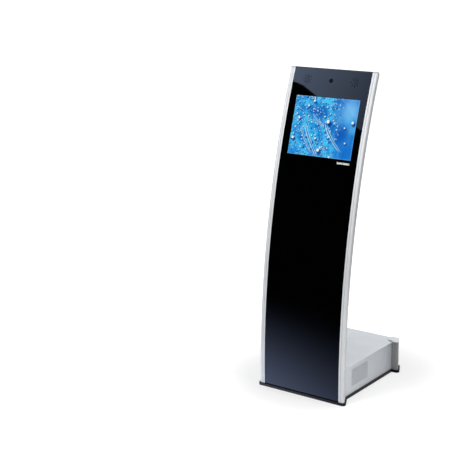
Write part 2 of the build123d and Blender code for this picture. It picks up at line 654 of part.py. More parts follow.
def make_amplifier():
    case = base_block((45, 135), (205, 270), (PLATE_THICK, 42))
    case = fillet(case.edges().filter_by(Axis.Y), 2.0)
    shaft = facing(90, FRONT_Y + 270, 26, *OUTWARD_BACK)
    case -= shaft * rod(3.0 + PIVOT_GAP, -8, 1)
    write("amplifier", case)
    knob = rod(9.0, 1.0, 12.0)
    for step in range(18):
        knob -= Rot(0, 0, 20 * step) * Pos(9.2, 0, 0) * rod(0.7, 2.5, 13)
    knob -= Pos(0, 5.5, 12) * Box(1.2, 6, 1.2)
    write("volume_knob", shaft * (knob + rod(3.0, -7.5, 1.5)))


def make_fan():
    outer = SIDE_HALF - SHEET - 0.2
    inner = outer - FAN_DEPTH
    half = FAN_SIZE / 2
    frame = extrude(RectangleRounded(FAN_SIZE, FAN_SIZE, 4), FAN_DEPTH)
    frame = Pos(0, 0, inner) * frame - rod(half - 2, inner - 1, outer + 1)
    for step in range(4):
        arm = Box(half, 5, 3)
        frame += Rot(0, 0, 45 + 90 * step) * Pos(half / 2 + 4, 0, inner + 1.5) * arm
        hole = Rot(0, 0, 45 + 90 * step) * Pos(FAN_SCREW_RING, 0, 0)
        frame -= hole * rod(2.1, inner - 1, outer + 1)
    frame += rod(16, inner, inner + 3) + rod(5, inner, inner + 8)
    frame -= rod(2.0 + PIVOT_GAP, inner + 2, inner + 9)
    write("fan_housing", FAN * frame)
    low, high = inner + 4.5, outer - 1.5
    hub = rod(17, low, high) - rod(14.5, low - 1, high - 2) + rod(2.0, inner + 2.5, high - 1)
    for step in range(7):
        blade = Pos(26.3, 0, (low + high) / 2) * Rot(38, 0, 0) * Box(20, 1.6, 19)
        hub += Rot(0, 0, 360 / 7 * step) * blade
    hub &= rod(36.5, low, high) + rod(2.0, inner + 2.5, high - 1)
    write("fan_rotor", FAN * hub)


def make_mains():
    inlet = extrude(RectangleRounded(48, 26, 3), 2.5) + block((-14, 14), (-11, 11), (-24, 1))
    socket = extrude(RectangleRounded(24, 16.5, 3), 40, both=True)
    inlet -= socket & block((-20, 20), (-20, 20), (-16, 5))
    for x, y in ((-7, -2.5), (0, 2.5), (7, -2.5)):
        inlet += block((x - 1, x + 1), (y - 2, y + 2), (-17, -8))
    write("power_inlet", INLET * inlet)
    frame = extrude(RectangleRounded(24, 30, 2), 2) + block((-10, 10), (-13, 13), (-20, 1))
    frame -= block((-7.2, 7.2), (-10.2, 10.2), (-12, 5))
    frame -= Rot(0, 90, 0) * rod(1.5 + PIVOT_GAP, -9.5, 9.5)
    write("switch_frame", SWITCH * frame)
    outline = Polyline((-8.8, 2.4), (0, 0.6), (8.8, 2.4), (8.2, -3), (-8.2, -3), close=True)
    paddle = extrude(Plane.YZ * make_face(outline), 6.6, both=True)
    paddle = Rot(SWITCH_TILT / 2, 0, 0) * paddle + Rot(0, 90, 0) * rod(1.5, -9.2, 9.2)
    write("rocker_switch", SWITCH * paddle)


make_side_profiles()
make_rear_posts()
make_front()
make_rear_panel()
make_rear_door()
make_base_door()
make_crossbars()
make_display()
make_speakers()
make_webcam()
make_loom()
make_base_plate()
make_feet()
make_side_panels()
make_base_covers()
make_computer()
make_power_supply()
make_amplifier()
make_fan()
make_mains()
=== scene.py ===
import json
import math

import bmesh
import bpy
import numpy as np
from mathutils import Matrix, Vector


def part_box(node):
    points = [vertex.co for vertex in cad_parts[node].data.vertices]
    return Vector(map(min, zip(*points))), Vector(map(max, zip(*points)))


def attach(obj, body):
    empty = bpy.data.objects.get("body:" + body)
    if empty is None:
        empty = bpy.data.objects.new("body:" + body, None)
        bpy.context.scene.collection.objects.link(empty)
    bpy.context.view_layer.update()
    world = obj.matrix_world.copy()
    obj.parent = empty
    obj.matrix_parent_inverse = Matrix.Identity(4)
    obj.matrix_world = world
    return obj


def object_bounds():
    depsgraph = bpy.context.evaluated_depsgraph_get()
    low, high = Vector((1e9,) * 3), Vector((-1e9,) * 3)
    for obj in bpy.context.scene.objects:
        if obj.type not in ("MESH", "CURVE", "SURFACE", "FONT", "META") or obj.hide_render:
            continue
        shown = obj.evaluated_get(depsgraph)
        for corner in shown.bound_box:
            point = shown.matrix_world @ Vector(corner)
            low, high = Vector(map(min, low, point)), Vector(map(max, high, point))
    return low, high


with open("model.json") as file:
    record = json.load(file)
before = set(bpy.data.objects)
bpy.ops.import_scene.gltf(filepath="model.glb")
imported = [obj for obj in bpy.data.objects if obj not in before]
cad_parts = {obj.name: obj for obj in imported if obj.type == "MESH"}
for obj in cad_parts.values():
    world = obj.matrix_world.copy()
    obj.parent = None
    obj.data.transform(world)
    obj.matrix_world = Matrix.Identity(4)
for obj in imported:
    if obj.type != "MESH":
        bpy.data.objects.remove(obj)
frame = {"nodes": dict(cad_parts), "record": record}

cad_low, cad_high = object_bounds()
MM = 0.001

# ------------------------------------------------------------------ the column's arc, its foot from the CAD
ARC_RADIUS = 4.0
COLUMN_DEPTH = 58.0 * MM
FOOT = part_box("front_glass")[0]
AXIS_Y, AXIS_Z = FOOT.y + ARC_RADIUS, FOOT.z


def arc_angle(point):
    """Angle of a point round the column's arc, upright at the foot."""
    return math.atan2(point.z - AXIS_Z, AXIS_Y - point.y)


def column_frame(angle):
    """Frame on the front face: +X right, +Y up along the column, +Z out of the glass."""
    s, c = math.sin(angle), math.cos(angle)
    y, z = AXIS_Y - ARC_RADIUS * c, AXIS_Z + ARC_RADIUS * s
    return Matrix(((1, 0, 0, 0), (0, s, -c, y), (0, c, s, z), (0, 0, 0, 1)))


def middle(node):
    low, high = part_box(node)
    return (low + high) / 2


# ------------------------------------------------------------------ camera
CAMERA_PLACE = (2.94155, -4.64184, 2.21675)
CAMERA_YAW, CAMERA_PITCH, CAMERA_ROLL = math.radians(-37.252), math.radians(-15.185), math.radians(-1.205)
CAMERA_SENSOR, CAMERA_LENS = 36.0, 93.94


def make_camera():
    data = bpy.data.cameras.new("camera")
    data.sensor_width, data.lens = CAMERA_SENSOR, CAMERA_LENS
    data.clip_start, data.clip_end = 0.05, 200.0
    camera = bpy.data.objects.new("camera", data)
    bpy.context.scene.collection.objects.link(camera)
    sy, cy = math.sin(CAMERA_YAW), math.cos(CAMERA_YAW)
    sp, cp = math.sin(CAMERA_PITCH), math.cos(CAMERA_PITCH)
    forward = Vector((sy * cp, cy * cp, sp))
    right = Vector((cy, -sy, 0.0))
    up = right.cross(forward)
    sr, cr = math.sin(CAMERA_ROLL), math.cos(CAMERA_ROLL)
    x_axis, y_axis = right * cr + up * sr, up * cr - right * sr
    turn = Matrix((x_axis, y_axis, -forward)).transposed().to_4x4()
    camera.matrix_world = Matrix.Translation(CAMERA_PLACE) @ turn
    bpy.context.scene.camera = camera


make_camera()


# ------------------------------------------------------------------ shader helper
class Nodes:
    """Short calls for building one material's node tree."""

    def __init__(self, tree):
        self.tree = tree
        self.coord = None

    def new(self, kind, **settings):
        made = self.tree.nodes.new(kind)
        for key, value in settings.items():
            setattr(made, key, value)
        return made

    def put(self, socket, value):
        if isinstance(value, bpy.types.NodeSocket):
            self.tree.links.new(value, socket)
        elif isinstance(value, (tuple, list)) and socket.type == "RGBA":
            socket.default_value = (*value[:3], 1.0)
        else:
            socket.default_value = value

    def math(self, operation, a, b=0.0, c=0.0, clamp=False):
        made = self.new("ShaderNodeMath", operation=operation, use_clamp=clamp)
        for socket, value in zip(made.inputs, (a, b, c)):
            self.put(socket, value)
        return made.outputs[0]

    def vector(self, operation, a, b=(0, 0, 0), scale=None):
        made = self.new("ShaderNodeVectorMath", operation=operation)
        self.put(made.inputs[0], a)
        self.put(made.inputs[1], b)
        if scale is not None:
            self.put(made.inputs["Scale"], scale)
        return made.outputs["Value" if operation in ("LENGTH", "DISTANCE", "DOT_PRODUCT") else "Vector"]

    def split(self, value):
        made = self.new("ShaderNodeSeparateXYZ")
        self.put(made.inputs[0], value)
        return made.outputs

    def join(self, x, y, z=0.0):
        made = self.new("ShaderNodeCombineXYZ")
        for socket, value in zip(made.inputs, (x, y, z)):
            self.put(socket, value)
        return made.outputs[0]

    def place(self):
        """Position in the row frame, in metres."""
        if self.coord is None:
            self.coord = self.new("ShaderNodeTexCoord").outputs["Object"]
        return self.coord

    def along_column(self):
        """Position across, through and along the column's arc, in metres."""
        x, y, z = self.split(self.place())
        back = self.math("SUBTRACT", AXIS_Y, y)
        rise = self.math("SUBTRACT", z, AXIS_Z)
        radius = self.vector("LENGTH", self.join(back, rise))
        length = self.math("MULTIPLY", self.math("ARCTAN2", rise, back), ARC_RADIUS)
        return self.join(x, radius, length)

    def stretch(self, value, scale):
        return self.vector("MULTIPLY", value, scale)

    def noise(self, where, scale, detail=2.0, rough=0.5):
        made = self.new("ShaderNodeTexNoise")
        self.put(made.inputs["Vector"], where)
        made.inputs["Scale"].default_value = scale
        made.inputs["Detail"].default_value = detail
        made.inputs["Roughness"].default_value = rough
        return made.outputs[0]

    def cells(self, where, scale):
        made = self.new("ShaderNodeTexVoronoi")
        self.put(made.inputs["Vector"], where)
        made.inputs["Scale"].default_value = scale
        return made.outputs

    def ramp(self, value, low, high, to_low=0.0, to_high=1.0, smooth=True):
        made = self.new("ShaderNodeMapRange", interpolation_type="SMOOTHSTEP" if smooth else "LINEAR")
        for socket, v in zip(made.inputs, (value, low, high, to_low, to_high)):
            self.put(socket, v)
        return made.outputs[0]

    def mix(self, factor, a, b, blend="MIX"):
        made = self.new("ShaderNodeMix", data_type="RGBA", blend_type=blend)
        self.put(made.inputs[0], factor)
        self.put(made.inputs[6], a)
        self.put(made.inputs[7], b)
        return made.outputs[2]

    def bump(self, height, depth, normal=None):
        made = self.new("ShaderNodeBump")
        made.inputs["Strength"].default_value = 1.0
        made.inputs["Distance"].default_value = depth
        self.put(made.inputs["Height"], height)
        if normal is not None:
            self.put(made.inputs["Normal"], normal)
        return made.outputs[0]

    def soft_edges(self, radius):
        made = self.new("ShaderNodeBevel", samples=4)
        made.inputs["Radius"].default_value = radius
        return made.outputs[0]


def start(name):
    """A new material: (material, node helper, Principled shader)."""
    material = bpy.data.materials.new(name)
    material.use_nodes = True
    tree = material.node_tree
    tree.nodes.clear()
    shader = tree.nodes.new("ShaderNodeBsdfPrincipled")
    output = tree.nodes.new("ShaderNodeOutputMaterial")
    tree.links.new(shader.outputs[0], output.inputs[0])
    return material, Nodes(tree), shader


def shade(colour, factor):
    return tuple(min(1.0, c * factor) for c in colour)


def surface(name, colour, rough, metallic=0.0, mottle=0.05, mottle_scale=14.0, grain=900.0,
            grain_depth=0.00002, streak=None, spread=0.06, specular=0.5, dust=0.0, edges=0.0004,
            column=False, painted_groove_shade=None):
    """A finish with broad colour drift, fine grain, uneven gloss, softened edges, a little dust, and where
    asked painted shade darkening a band along a groove.
    """
    material, n, shader = start(name)
    where = n.along_column() if column else n.place()
    broad = n.noise(where, mottle_scale, 4.0, 0.6)
    base = n.mix(n.ramp(broad, 0.3, 0.7), shade(colour, 1 - mottle), shade(colour, 1 + mottle))
    fine_place = n.stretch(where, streak) if streak else where
    fine = n.noise(fine_place, grain, 3.0, 0.6)
    base = n.mix(n.ramp(fine, 0.25, 0.75, 0.0, mottle), base, shade(colour, 0.6))
    # painted shade: the colour darkens towards 0.3 of itself in a band either side of |x| = at, standing in
    # for the shade in the groove
    if painted_groove_shade:
        at, width, depth = painted_groove_shade
        beside = n.math("ABSOLUTE", n.math("SUBTRACT", n.math("ABSOLUTE", n.split(n.place())[0]), at))
        base = n.mix(n.ramp(beside, 0.5 * width, width, depth, 0.0), base, shade(colour, 0.3))
    if dust:
        settled = n.math("MAXIMUM", n.split(n.new("ShaderNodeNewGeometry").outputs["Normal"])[2], 0.0)
        patches = n.ramp(n.noise(where, 26.0, 6.0, 0.7), 0.45, 0.8, 0.0, dust)
        base = n.mix(n.math("MULTIPLY", settled, patches), base, (0.62, 0.61, 0.58))
    n.put(shader.inputs["Base Color"], base)
    handled = n.noise(where, 40.0, 5.0, 0.7)
    level = n.math("ADD", n.ramp(handled, 0.3, 0.7, rough - spread, rough + spread),
                   n.ramp(fine, 0.3, 0.7, -0.4 * spread, 0.4 * spread))
    n.put(shader.inputs["Roughness"], level)
    shader.inputs["Metallic"].default_value = metallic
    shader.inputs["Specular IOR Level"].default_value = specular
    normal = n.soft_edges(edges) if edges else None
    n.put(shader.inputs["Normal"], n.bump(fine, grain_depth, normal))
    return material


# ------------------------------------------------------------------ materials
def black_glass():
    """Black back-painted glass: mirror-like, with faint smears, finger marks and specks of dust."""
    material, n, shader = start("black_glass")
    where = n.along_column()
    smears = n.noise(n.stretch(where, (1.0, 1.0, 0.35)), 11.0, 6.0, 0.65)
    prints = n.cells(where, 38.0)[0]
    haze = n.ramp(smears, 0.5, 0.78, 0.0, 0.04)
    touch = n.math("MULTIPLY", n.ramp(prints, 0.05, 0.3, 0.04, 0.0), n.ramp(smears, 0.55, 0.7))
    n.put(shader.inputs["Roughness"], n.math("ADD", n.math("ADD", haze, touch), 0.02))
    specks = n.ramp(n.cells(where, 420.0)[0], 0.0, 0.05, 0.04, 0.0)
    n.put(shader.inputs["Base Color"], n.mix(specks, (0.0003, 0.0003, 0.0004), (0.2, 0.2, 0.2)))
    shader.inputs["IOR"].default_value = 1.52
    shader.inputs["Specular Tint"].default_value = (0.60, 0.74, 1.0, 1.0)
    wave = n.noise(where, 2.0, 0.0, 0.4)
    n.put(shader.inputs["Normal"], n.bump(wave, 0.00004, n.soft_edges(0.0005)))
    return material


def clear_glass(name, tint, rough):
    material, n, shader = start(name)
    where = n.place()
    smears = n.noise(where, 18.0, 6.0, 0.7)
    shader.inputs["Transmission Weight"].default_value = 1.0
    shader.inputs["IOR"].default_value = 1.45
    n.put(shader.inputs["Base Color"], n.mix(smears, tint, shade(tint, 1.02)))
    n.put(shader.inputs["Roughness"], n.ramp(smears, 0.4, 0.8, rough, rough + 0.02))
    return material


def lens_glass():
    """Dark window over the camera, smoked at its rim."""
    material, n, shader = start("lens_glass")
    across = n.vector("DISTANCE", n.place(), tuple(middle("camera_window")))
    ring = n.ramp(across, 0.0062, 0.0072)
    tint = n.mix(n.noise(n.place(), 160.0, 2.0), (0.003, 0.002, 0.006), (0.001, 0.002, 0.004))
    n.put(shader.inputs["Base Color"], n.mix(ring, tint, (0.0008, 0.0008, 0.0008)))
    n.put(shader.inputs["Roughness"], n.ramp(n.noise(n.place(), 300.0, 3.0), 0.3, 0.8, 0.10, 0.2))
    shader.inputs["Specular IOR Level"].default_value = 0.04
    return material


def mesh_steel():
    """Perforated black sheet behind the sound slots."""
    material, n, shader = start("mesh_steel")
    holes = n.cells(n.along_column(), 520.0)[0]
    open_part = n.ramp(holes, 0.25, 0.38, 0.0, 1.0)
    n.put(shader.inputs["Base Color"], n.mix(open_part, (0.004, 0.004, 0.005), (0.05, 0.052, 0.058)))
    n.put(shader.inputs["Roughness"], n.ramp(open_part, 0.0, 1.0, 0.8, 0.42))
    shader.inputs["Metallic"].default_value = 0.4
    n.put(shader.inputs["Normal"], n.bump(open_part, 0.0003))
    return material


def speaker_paper():
    material, n, shader = start("speaker_paper")
    fibres = n.noise(n.stretch(n.place(), (1.0, 1.0, 3.0)), 900.0, 5.0, 0.75)
    n.put(shader.inputs["Base Color"], n.mix(fibres, (0.02, 0.02, 0.022), (0.08, 0.08, 0.085)))
    n.put(shader.inputs["Roughness"], n.ramp(fibres, 0.2, 0.8, 0.8, 0.95))
    n.put(shader.inputs["Normal"], n.bump(fibres, 0.0001))
    return material


def circuit_board():
    material, n, shader = start("circuit_board")
    where = n.along_column()
    lanes = n.new("ShaderNodeTexBrick", offset=0.5)
    n.put(lanes.inputs["Vector"], where)
    lanes.inputs["Scale"].default_value = 55.0
    lanes.inputs["Mortar Size"].default_value = 0.03
    n.put(lanes.inputs["Color1"], (0.012, 0.12, 0.05))
    n.put(lanes.inputs["Color2"], (0.016, 0.15, 0.06))
    n.put(lanes.inputs["Mortar"], (0.03, 0.24, 0.11))
    pads = n.ramp(n.cells(where, 300.0)[0], 0.10, 0.14, 1.0, 0.0)
    n.put(shader.inputs["Base Color"], n.mix(pads, lanes.outputs["Color"], (0.5, 0.46, 0.36)))
    n.put(shader.inputs["Roughness"], n.ramp(n.noise(where, 200.0, 3.0), 0.3, 0.7, 0.28, 0.42))
    n.put(shader.inputs["Normal"], n.bump(lanes.outputs["Fac"], 0.00005))
    return material


PICTURE = (337.9 * MM, 270.3 * MM)


def drops(n, where, picture, scale, size, share, shift):
    """One layer of water drops: dark rim, lighter inside, bright spot towards the light."""
    moved = n.vector("ADD", where, shift)
    distance, colour, centre = n.cells(moved, scale)[:3]
    chance = n.split(colour)
    radius = n.ramp(chance[0], 0.0, 1.0, 0.5 * size, size, smooth=False)
    kept = n.math("LESS_THAN", chance[1], share)
    reach = n.math("DIVIDE", distance, radius)
    rim = n.math("MULTIPLY", n.ramp(reach, 0.35, 0.8), n.ramp(reach, 0.95, 1.25, 1.0, 0.0))
    offset = n.vector("SCALE", n.vector("SUBTRACT", moved, centre), scale=scale)
    towards = n.vector("SUBTRACT", offset, (-0.12, 0.14, 0.0))
    spot = n.ramp(n.math("DIVIDE", n.vector("LENGTH", towards), radius), 0.25, 0.7, 1.0, 0.0)
    side = n.split(offset)
    lower = n.ramp(n.math("SUBTRACT", side[0], side[1]), -0.25, 0.25)
    inside = n.ramp(reach, 0.6, 1.0, 1.0, 0.0)
    picture = n.mix(n.math("MULTIPLY", n.math("MULTIPLY", inside, kept), 0.5), picture, (0.20, 0.62, 0.93))
    dark = n.math("MULTIPLY", n.math("MULTIPLY", rim, kept), n.math("MULTIPLY_ADD", lower, 0.8, 0.15))
    picture = n.mix(dark, picture, (0.0, 0.045, 0.30))
    return n.mix(n.math("MULTIPLY", spot, kept), picture, (0.80, 0.94, 1.0))


def run_off(n, uv, picture, top, bottom, bend, width):
    """A curved double streak of running water between two points of the picture."""
    u, v = uv
    down = n.math("DIVIDE", n.math("SUBTRACT", top[1], v), top[1] - bottom[1])
    lean = n.math("MULTIPLY", n.math("POWER", n.math("MAXIMUM", down, 0.0), bend), bottom[0] - top[0])
    off = n.math("SUBTRACT", u, n.math("ADD", lean, top[0]))
    ends = n.math("MULTIPLY", n.ramp(down, 0.0, 0.12), n.ramp(down, 0.9, 1.05, 1.0, 0.0))
    for place, colour, weight in ((0.0, (0.55, 0.88, 1.0), 0.85), (1.6, (0.004, 0.10, 0.42), 0.85),
                                  (3.2, (0.45, 0.82, 1.0), 0.7)):
        near = n.math("ABSOLUTE", n.math("SUBTRACT", off, place * width))
        line = n.ramp(near, 0.2 * width, width, weight, 0.0)
        picture = n.mix(n.math("MULTIPLY", line, ends), picture, colour)
    return picture


# Large spots: place across and up the picture, and radius
SPOTS = ((0.56, 0.60, 0.030), (0.94, 0.62, 0.024), (0.47, 0.11, 0.028), (0.87, 0.27, 0.014),
         (0.30, 0.93, 0.020), (0.04, 0.28, 0.022), (0.50, 0.68, 0.014), (0.83, 0.52, 0.014),
         (0.10, 0.62, 0.016), (0.22, 0.84, 0.016), (0.40, 0.30, 0.016))
# Streaks: top, bottom, bend and width
STREAKS = (((0.52, 0.58), (0.80, 0.12), 1.5, 0.010), ((0.20, 0.52), (0.44, 0.02), 1.25, 0.009),
           ((0.14, 0.50), (0.36, 0.05), 1.4, 0.007), ((0.30, 0.72), (0.48, 0.50), 1.2, 0.007))
# Soft patches: place, reach, colour and weight
PATCHES = (((0.80, 0.40), 0.22, (0.002, 0.10, 0.50), 0.9), ((0.93, 0.12), 0.26, (0.003, 0.16, 0.62), 0.9),
           ((0.30, 0.76), 0.15, (0.003, 0.12, 0.52), 0.8), ((0.47, 0.74), 0.12, (0.003, 0.11, 0.48), 0.75),
           ((0.62, 0.52), 0.14, (0.004, 0.14, 0.55), 0.5), ((0.86, 0.80), 0.20, (0.22, 0.60, 0.92), 0.6),
           ((0.97, 0.50), 0.10, (0.12, 0.50, 0.90), 0.6))


def screen_picture():
    """Abstract blue picture of water drops on a pane, lit from behind."""
    material, n, shader = start("screen_picture")
    x, y, _ = n.split(n.place())
    u = n.math("MULTIPLY_ADD", x, 1 / PICTURE[0], 0.5)
    v = n.math("MULTIPLY_ADD", y, 1 / PICTURE[1], 0.5)
    tall = PICTURE[1] / PICTURE[0]
    where = n.join(u, n.math("MULTIPLY", v, tall))
    clouds = n.noise(where, 6.0, 5.0, 0.62)
    picture = n.mix(n.ramp(clouds, 0.38, 0.60), (0.008, 0.24, 0.72), (0.075, 0.60, 0.98))
    bands = n.noise(n.stretch(where, (6.0, 1.6, 1.0)), 1.0, 3.0, 0.55)
    clear = n.mix(n.ramp(bands, 0.38, 0.62), (0.010, 0.20, 0.66), (0.07, 0.40, 0.84))
    right = n.ramp(n.math("ADD", u, n.math("MULTIPLY", v, 0.18)), 0.66, 0.86)
    picture = n.mix(right, picture, clear)
    for place, reach, colour, weight in PATCHES:
        gap = n.vector("DISTANCE", where, (place[0], place[1] * tall, 0.0))
        picture = n.mix(n.ramp(gap, 0.15 * reach, reach, weight, 0.0), picture, colour)
    wet = n.ramp(n.math("ADD", u, n.math("MULTIPLY", n.noise(where, 4.0), 0.25)), 0.72, 0.95, 1.0, 0.0)
    beads = drops(n, where, picture, 12.0, 0.42, 0.8, (0.31, 0.17, 0.0))
    beads = drops(n, where, beads, 20.0, 0.46, 0.85, (0.73, 0.41, 0.0))
    beads = drops(n, where, beads, 33.0, 0.50, 0.7, (0.11, 0.87, 0.0))
    picture = n.mix(wet, picture, beads)
    for top, bottom, bend, width in STREAKS:
        picture = run_off(n, (u, v), picture, top, bottom, bend, width)
    for su, sv, size in SPOTS:
        gap = n.vector("DISTANCE", where, (su, sv * tall, 0.0))
        low = n.vector("DISTANCE", where, (su + 0.9 * size, sv * tall - size, 0.0))
        picture = n.mix(n.ramp(low, 0.6 * size, 1.8 * size, 0.9, 0.0), picture, (0.0, 0.04, 0.26))
        picture = n.mix(n.ramp(gap, 0.5 * size, 1.0 * size, 1.0, 0.0), picture, (0.93, 0.98, 1.0))
    rim = n.math("MINIMUM", n.math("MINIMUM", u, n.math("SUBTRACT", 1.0, u)),
                 n.math("MINIMUM", v, n.math("SUBTRACT", 1.0, v)))
    picture = n.mix(n.ramp(rim, 0.0, 0.02, 0.25, 0.0), picture, (0.30, 0.70, 0.96))
    lit = n.math("GREATER_THAN", rim, 0.0)
    shader.inputs["Base Color"].default_value = (0.002, 0.002, 0.003, 1.0)
    shader.inputs["Roughness"].default_value = 0.5
    shader.inputs["Specular IOR Level"].default_value = 0.1
    n.put(shader.inputs["Emission Color"], n.mix(lit, (0, 0, 0), picture))
    shader.inputs["Emission Strength"].default_value = 1.0
    return material


LENGTHWISE = (1.0, 1.0, 0.02)
GROOVE_FROM_GLASS = 10.1 * MM     # glass edge to the middle of the side extrusion's groove
GROOVE_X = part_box("front_glass")[1].x + GROOVE_FROM_GLASS
ALUMINIUM = (0.60, 0.615, 0.63)
PAINT = (0.60, 0.63, 0.665)


def extrusion(name, colour):
    """Anodised side extrusion, with its die lines lengthwise and painted shade darkening the colour along
    its groove.
    """
    # painted shade along the groove: a band 1.1 mm wide, darkened by up to 0.45
    return surface(name, colour, 0.45, 0.20, 0.03, 7.0, 1500.0, 0.00001, LENGTHWISE, 0.05, edges=0.0006,
                   column=True, painted_groove_shade=(GROOVE_X, 1.1 * MM, 0.45))


FINISHES = {
    "black_glass": black_glass(),
    "clear_glass": clear_glass("clear_glass", (0.97, 0.985, 1.0), 0.0),
    "anodised_aluminium": extrusion("anodised_aluminium", ALUMINIUM),
    "silver_sheet": surface("silver_sheet", PAINT, 0.42, 0.15, 0.03, 9.0, 1100.0, 0.000015, spread=0.06,
                            dust=0.12, edges=0.0008),
    "black_steel": surface("black_steel", (0.006, 0.006, 0.007), 0.5, 0.0, 0.2, 20.0, 800.0, 0.00005,
                           specular=0.3, dust=0.03, edges=0.0012),
    "grey_trim": surface("grey_trim", (0.36, 0.37, 0.40), 0.40, 0.5, 0.05, 12.0, 1200.0, 0.00001),
    "black_plastic": surface("black_plastic", (0.012, 0.012, 0.014), 0.45, 0.0, 0.2, 30.0, 1400.0, 0.00003,
                             dust=0.05),
    "nameplate_metal": surface("nameplate_metal", (0.22, 0.22, 0.225), 0.40, 0.5, 0.08, 60.0, 2600.0,
                               0.00001, (0.05, 1.0, 1.0), edges=0.0002),
    "screen_picture": screen_picture(),
    "zinc_steel": surface("zinc_steel", (0.56, 0.57, 0.57), 0.34, 0.9, 0.12, 120.0, 1600.0, 0.00002,
                          edges=0.0003),
    "chrome_lock": surface("chrome_lock", (0.72, 0.72, 0.74), 0.16, 1.0, 0.04, 60.0, 2000.0, 0.000005,
                           edges=0.0003),
    "foam": surface("foam", (0.02, 0.02, 0.02), 0.92, 0.0, 0.3, 90.0, 1500.0, 0.0002, edges=0.0),
    "circuit_board": circuit_board(),
    "speaker_paper": speaker_paper(),
    "mesh_steel": mesh_steel(),
    "lens_glass": lens_glass(),
    "cable_jacket": surface("cable_jacket", (0.012, 0.012, 0.014), 0.55, 0.0, 0.2, 60.0, 900.0, 0.00008,
                            (1.0, 1.0, 0.15), column=True, edges=0.0),
    "computer_metal": surface("computer_metal", (0.035, 0.036, 0.04), 0.42, 0.5, 0.15, 25.0, 1500.0,
                              0.00002, dust=0.15, edges=0.0006),
    "fan_plastic": surface("fan_plastic", (0.018, 0.018, 0.02), 0.40, 0.0, 0.2, 50.0, 1200.0, 0.00002,
                           dust=0.2),
    "button_metal": surface("button_metal", (0.62, 0.62, 0.64), 0.28, 1.0, 0.05, 80.0, 2200.0, 0.00001,
                            edges=0.0003),
}
# painted shade: the rear posts use the same anodised aluminium painted 0.55 times as bright, standing in
# for the shade they stand in beside the base box
POST_PAINTED_SHADE_FINISH = extrusion("post_aluminium_painted_shade", shade(ALUMINIUM, 0.55))
SPECIAL = {
    "lcd_module": surface("panel_case", (0.30, 0.31, 0.31), 0.38, 0.85, 0.1, 40.0, 1500.0, 0.00002),
    "left_rear_post": POST_PAINTED_SHADE_FINISH,
    "right_rear_post": POST_PAINTED_SHADE_FINISH,
    "post_caps": surface("cap_paint", PAINT, 0.45, 0.1, 0.03, 9.0, 1100.0, 0.000015, edges=0.0006),
    "glass_top_trim": surface("glass_edge", (0.008, 0.010, 0.022), 0.25, 0.0, 0.2, 30.0, 900.0, 0.00001),
}


def paint_nodes():
    slots = {part["node"]: part["material_slot"] for part in frame["record"]["subparts"]}
    for name, piece in frame["nodes"].items():
        finish = SPECIAL.get(name) or FINISHES[slots[name]]
        piece.data.materials.clear()
        piece.data.materials.append(finish)


# ------------------------------------------------------------------ added pieces
def build(name, mesh_maker, finish, body="kiosk", place=None):
    """A piece made in mesh code, in its own frame, riding on a CAD body."""
    mesh = bpy.data.meshes.new(name)
    work = bmesh.new()
    mesh_maker(work)
    bmesh.ops.recalc_face_normals(work, faces=work.faces)
    work.to_mesh(mesh)
    work.free()
    for face in mesh.polygons:
        face.use_smooth = False
    mesh.materials.append(finish)
    piece = bpy.data.objects.new(name, mesh)
    bpy.context.scene.collection.objects.link(piece)
    piece.matrix_world = place or Matrix.Identity(4)
    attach(piece, body)
    return piece


def slab(work, low, high, bevel=0.0):
    """A box between two corners, with its edges rounded."""
    size = Vector(high) - Vector(low)
    centre = (Vector(high) + Vector(low)) / 2
    scale = Matrix.Diagonal((*size, 1.0))
    made = bmesh.ops.create_cube(work, size=1.0, matrix=Matrix.Translation(centre) @ scale)
    if bevel:
        edges = list({edge for vert in made["verts"] for edge in vert.link_edges})
        bmesh.ops.bevel(work, geom=edges, offset=bevel, segments=2, affect="EDGES", profile=0.5)


def screw_head(work, place, radius, height):
    """A domed head with a cross recess, pointing along +Z of its place."""
    steps, rings = 20, ((1.0, 0.0), (1.0, 0.35), (0.86, 0.78), (0.55, 1.0))
    loops = []
    for share, rise in rings:
        loop = []
        for step in range(steps):
            turn = 2 * math.pi * step / steps
            point = (radius * share * math.cos(turn), radius * share * math.sin(turn), height * rise)
            loop.append(work.verts.new(place @ Vector(point)))
        loops.append(loop)
    for lower, upper in zip(loops, loops[1:]):
        for step in range(steps):
            after = (step + 1) % steps
            work.faces.new((lower[step], lower[after], upper[after], upper[step]))
    work.faces.new(loops[0][::-1])
    inner = []
    for step in range(steps):
        turn = 2 * math.pi * step / steps
        arm = 0.42 if step % 5 == 0 else 0.16
        point = (radius * arm * math.cos(turn), radius * arm * math.sin(turn), height)
        inner.append(work.verts.new(place @ Vector(point)))
    floor = []
    for vert in inner:
        local = place.inverted() @ vert.co
        floor.append(work.verts.new(place @ Vector((local.x, local.y, height * 0.35))))
    top = loops[-1]
    for step in range(steps):
        after = (step + 1) % steps
        work.faces.new((top[step], top[after], inner[after], inner[step]))
        work.faces.new((inner[step], inner[after], floor[after], floor[step]))
    work.faces.new(floor)


PICTURE_DEPTH = (-4.88 * MM, -4.78 * MM)     # back and front of the lit picture, behind the glass face


def make_screen():
    place = column_frame(arc_angle(middle("touch_glass")))
    half_x, half_y = PICTURE[0] / 2, PICTURE[1] / 2

    def panel(work):
        slab(work, (-half_x, -half_y, PICTURE_DEPTH[0]), (half_x, half_y, PICTURE_DEPTH[1]))

    build("lit_panel", panel, FINISHES["screen_picture"], place=place)


BAR_COUNT, BAR_PITCH, BAR_GROUP_GAP = 8, 7.2 * MM, 3.0 * MM
BAR_HALF = (2.7 * MM, 3.2 * MM)
BAR_RISE = (0.8 * MM, 1.4 * MM)
BAR_BEVEL = 0.3 * MM


